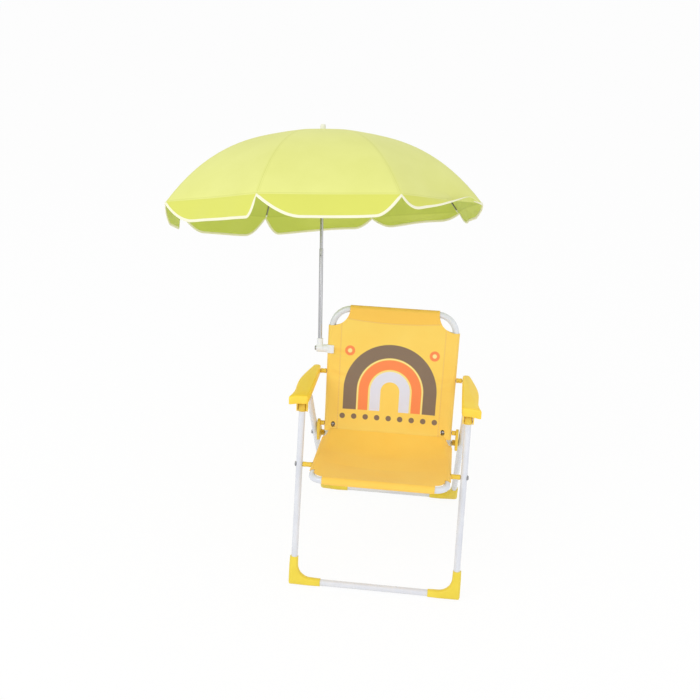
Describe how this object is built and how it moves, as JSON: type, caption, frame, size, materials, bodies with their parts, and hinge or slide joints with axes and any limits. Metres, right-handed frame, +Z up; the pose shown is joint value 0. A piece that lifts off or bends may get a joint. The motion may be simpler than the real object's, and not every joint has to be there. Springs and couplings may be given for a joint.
{
  "type": "folding chair",
  "caption": "Child's folding armchair on bent tube frames with slung cloth seat and back, moulded armrests and a tilting parasol clamped to the back frame.",
  "frame": {"origin": "middle of the whole object's box, on the floor that the feet stand on", "axes": "+Z up, the seat faces -Y, +X to the right of someone facing the chair's front"},
  "size_m": [0.6698, 0.6636, 0.8515],
  "materials": {
    "tube": "smooth white enamel",
    "seat_cloth": "woven polyester, golden yellow",
    "back_cloth": "woven polyester, warm yellow",
    "plastic": "satin moulded yellow",
    "foot": "satin moulded lemon yellow",
    "steel": "plated steel",
    "clamp": "white moulding",
    "chrome": "plated tube",
    "canopy_cloth": "thin lime-yellow polyester",
    "pale": "off-white moulding",
    "wire": "thin steel wire"
  },
  "bodies": {
    "front_stand": {"front_legs": "tube", "front_foot_left": "foot", "front_foot_right": "foot", "leg_collar_left": "plastic", "leg_collar_right": "plastic", "pin_a_left": "steel", "pin_a_right": "steel", "bolt_p_left": "steel", "bolt_p_right": "steel", "spacer_p_left": "plastic", "spacer_p_right": "plastic"},
    "seat": {"seat_frame": "tube", "seat_sling": "seat_cloth", "hinge_plate_left": "plastic", "hinge_plate_right": "plastic", "bolt_q_left": "steel", "bolt_q_right": "steel", "bolt_c_left": "steel", "bolt_c_right": "steel", "spacer_c_left": "plastic", "spacer_c_right": "plastic"},
    "back": {"back_frame": "tube", "back_sling": "back_cloth", "clamp": "clamp", "bolt_b_left": "steel", "bolt_b_right": "steel", "spacer_b_left": "plastic", "spacer_b_right": "plastic"},
    "rear_stand": {"rear_legs": "tube", "rear_foot_left": "foot", "rear_foot_right": "foot"},
    "arm_left": {"armrest_left": "plastic"},
    "arm_right": {"armrest_right": "plastic"},
    "hub": {"tilt_hub": "clamp", "pole_lower": "chrome", "lock_button": "steel"},
    "knob": {"clamp_knob": "steel"},
    "mast": {"pole_upper": "chrome", "crown": "pale", "ferrule": "pale", "canopy": "canopy_cloth"},
    "slider": {"runner": "pale"},
    "rib_1": {"rib_1": "wire"},
    "stretcher_1": {"stretcher_1": "wire"},
    "rib_2": {"rib_2": "wire"},
    "stretcher_2": {"stretcher_2": "wire"},
    "rib_3": {"rib_3": "wire"},
    "stretcher_3": {"stretcher_3": "wire"},
    "rib_4": {"rib_4": "wire"},
    "stretcher_4": {"stretcher_4": "wire"},
    "rib_5": {"rib_5": "wire"},
    "stretcher_5": {"stretcher_5": "wire"},
    "rib_6": {"rib_6": "wire"},
    "stretcher_6": {"stretcher_6": "wire"},
    "rib_7": {"rib_7": "wire"},
    "stretcher_7": {"stretcher_7": "wire"},
    "rib_8": {"rib_8": "wire"},
    "stretcher_8": {"stretcher_8": "wire"}
  },
  "joints": [
    {"name": "seat_fold", "type": "hinge", "parent": "front_stand", "child": "seat", "pos_m": [0.1515, -0.25749, 0.23933], "axis": [-1, 0, 0], "range_deg": [0, 70]},
    {"name": "back_fold", "type": "hinge", "parent": "seat", "child": "back", "pos_m": [0.1515, -0.11011, 0.25549], "axis": [-1, 0, 0], "range_deg": [-70.5, 0]},
    {"name": "rear_leg_fold", "type": "hinge", "parent": "seat", "child": "rear_stand", "pos_m": [0.1515, -0.08906, 0.22124], "axis": [-1, 0, 0], "range_deg": [-45, 0]},
    {"name": "arm_left_fold", "type": "hinge", "parent": "front_stand", "child": "arm_left", "pos_m": [0.1515, -0.22754, 0.34548], "axis": [-1, 0, 0], "range_deg": [0, 70.5]},
    {"name": "arm_right_fold", "type": "hinge", "parent": "front_stand", "child": "arm_right", "pos_m": [0.1515, -0.22754, 0.34548], "axis": [-1, 0, 0], "range_deg": [0, 70.5]},
    {"name": "parasol_tilt", "type": "hinge", "parent": "back", "child": "hub", "pos_m": [0.0005, -0.06734, 0.40707], "axis": [0.9988, 0.0158, 0.0453], "range_deg": [-40, 14]},
    {"name": "knob_turn", "type": "hinge", "parent": "hub", "child": "knob", "pos_m": [0.0005, -0.06734, 0.40707], "axis": [0.9988, 0.0158, 0.0453], "range_deg": [0, 180]},
    {"name": "pole_extend", "type": "slide", "parent": "hub", "child": "mast", "axis": [-0.048, 0.3284, 0.9433], "range_m": [0, 0.06]},
    {"name": "runner_slide", "type": "slide", "parent": "mast", "child": "slider", "axis": [0.048, -0.3284, -0.9433], "range_m": [0, 0.1203], "deforming": ["canopy"]},
    {"name": "rib_1_hinge", "type": "hinge", "parent": "mast", "child": "rib_1", "pos_m": [-0.02596, 0.0708, 0.81485], "axis": [0.5295, -0.7924, 0.3028], "range_deg": [0, 61]},
    {"name": "stretcher_1_hinge", "type": "hinge", "parent": "slider", "child": "stretcher_1", "pos_m": [-0.02323, 0.04582, 0.7447], "axis": [0.5295, -0.7924, 0.3028], "range_deg": [-30, 0]},
    {"name": "rib_2_hinge", "type": "hinge", "parent": "mast", "child": "rib_2", "pos_m": [-0.02173, 0.06801, 0.81603], "axis": [0.9733, -0.1969, 0.1181], "range_deg": [0, 61]},
    {"name": "stretcher_2_hinge", "type": "hinge", "parent": "slider", "child": "stretcher_2", "pos_m": [-0.01837, 0.04263, 0.74606], "axis": [0.9733, -0.1969, 0.1181], "range_deg": [-30, 0]},
    {"name": "rib_3_hinge", "type": "hinge", "parent": "mast", "child": "rib_3", "pos_m": [-0.0166, 0.06891, 0.81598], "axis": [0.847, 0.514, -0.1359], "range_deg": [0, 61]},
    {"name": "stretcher_3_hinge", "type": "hinge", "parent": "slider", "child": "stretcher_3", "pos_m": [-0.01249, 0.04365, 0.74601], "axis": [0.847, 0.514, -0.1359], "range_deg": [-30, 0]},
    {"name": "rib_4_hinge", "type": "hinge", "parent": "mast", "child": "rib_4", "pos_m": [-0.01358, 0.07296, 0.81473], "axis": [0.2245, 0.9238, -0.3102], "range_deg": [0, 61]},
    {"name": "stretcher_4_hinge", "type": "hinge", "parent": "slider", "child": "stretcher_4", "pos_m": [-0.00903, 0.04829, 0.74457], "axis": [0.2245, 0.9238, -0.3102], "range_deg": [-30, 0]},
    {"name": "rib_5_hinge", "type": "hinge", "parent": "mast", "child": "rib_5", "pos_m": [-0.01444, 0.07779, 0.813], "axis": [-0.5295, 0.7924, -0.3028], "range_deg": [0, 61]},
    {"name": "stretcher_5_hinge", "type": "hinge", "parent": "slider", "child": "stretcher_5", "pos_m": [-0.01002, 0.05384, 0.74259], "axis": [-0.5295, 0.7924, -0.3028], "range_deg": [-30, 0]},
    {"name": "rib_6_hinge", "type": "hinge", "parent": "mast", "child": "rib_6", "pos_m": [-0.01867, 0.08058, 0.81181], "axis": [-0.9733, 0.1969, -0.1181], "range_deg": [0, 61]},
    {"name": "stretcher_6_hinge", "type": "hinge", "parent": "slider", "child": "stretcher_6", "pos_m": [-0.01487, 0.05704, 0.74123], "axis": [-0.9733, 0.1969, -0.1181], "range_deg": [-30, 0]},
    {"name": "rib_7_hinge", "type": "hinge", "parent": "mast", "child": "rib_7", "pos_m": [-0.0238, 0.07969, 0.81186], "axis": [-0.847, -0.514, 0.1359], "range_deg": [0, 61]},
    {"name": "stretcher_7_hinge", "type": "hinge", "parent": "slider", "child": "stretcher_7", "pos_m": [-0.02075, 0.05601, 0.74128], "axis": [-0.847, -0.514, 0.1359], "range_deg": [-30, 0]},
    {"name": "rib_8_hinge", "type": "hinge", "parent": "mast", "child": "rib_8", "pos_m": [-0.02682, 0.07563, 0.81312], "axis": [-0.2245, -0.9238, 0.3102], "range_deg": [0, 61]},
    {"name": "stretcher_8_hinge", "type": "hinge", "parent": "slider", "child": "stretcher_8", "pos_m": [-0.02422, 0.05137, 0.74272], "axis": [-0.2245, -0.9238, 0.3102], "range_deg": [-30, 0]}
  ],
  "couplings": [
    {"joint": "back_fold", "follows": "seat_fold", "ratio": -1},
    {"joint": "rear_leg_fold", "follows": "seat_fold", "ratio": -0.485},
    {"joint": "arm_left_fold", "follows": "seat_fold", "ratio": 1},
    {"joint": "arm_right_fold", "follows": "seat_fold", "ratio": 1},
    {"joint": "rib_1_hinge", "follows": "runner_slide", "rad_per_m": 8.6988},
    {"joint": "stretcher_1_hinge", "follows": "runner_slide", "rad_per_m": -4.2375},
    {"joint": "rib_2_hinge", "follows": "runner_slide", "rad_per_m": 8.6988},
    {"joint": "stretcher_2_hinge", "follows": "runner_slide", "rad_per_m": -4.2375},
    {"joint": "rib_3_hinge", "follows": "runner_slide", "rad_per_m": 8.6988},
    {"joint": "stretcher_3_hinge", "follows": "runner_slide", "rad_per_m": -4.2375},
    {"joint": "rib_4_hinge", "follows": "runner_slide", "rad_per_m": 8.6988},
    {"joint": "stretcher_4_hinge", "follows": "runner_slide", "rad_per_m": -4.2375},
    {"joint": "rib_5_hinge", "follows": "runner_slide", "rad_per_m": 8.6988},
    {"joint": "stretcher_5_hinge", "follows": "runner_slide", "rad_per_m": -4.2375},
    {"joint": "rib_6_hinge", "follows": "runner_slide", "rad_per_m": 8.6988},
    {"joint": "stretcher_6_hinge", "follows": "runner_slide", "rad_per_m": -4.2375},
    {"joint": "rib_7_hinge", "follows": "runner_slide", "rad_per_m": 8.6988},
    {"joint": "stretcher_7_hinge", "follows": "runner_slide", "rad_per_m": -4.2375},
    {"joint": "rib_8_hinge", "follows": "runner_slide", "rad_per_m": 8.6988},
    {"joint": "stretcher_8_hinge", "follows": "runner_slide", "rad_per_m": -4.2375}
  ]
}
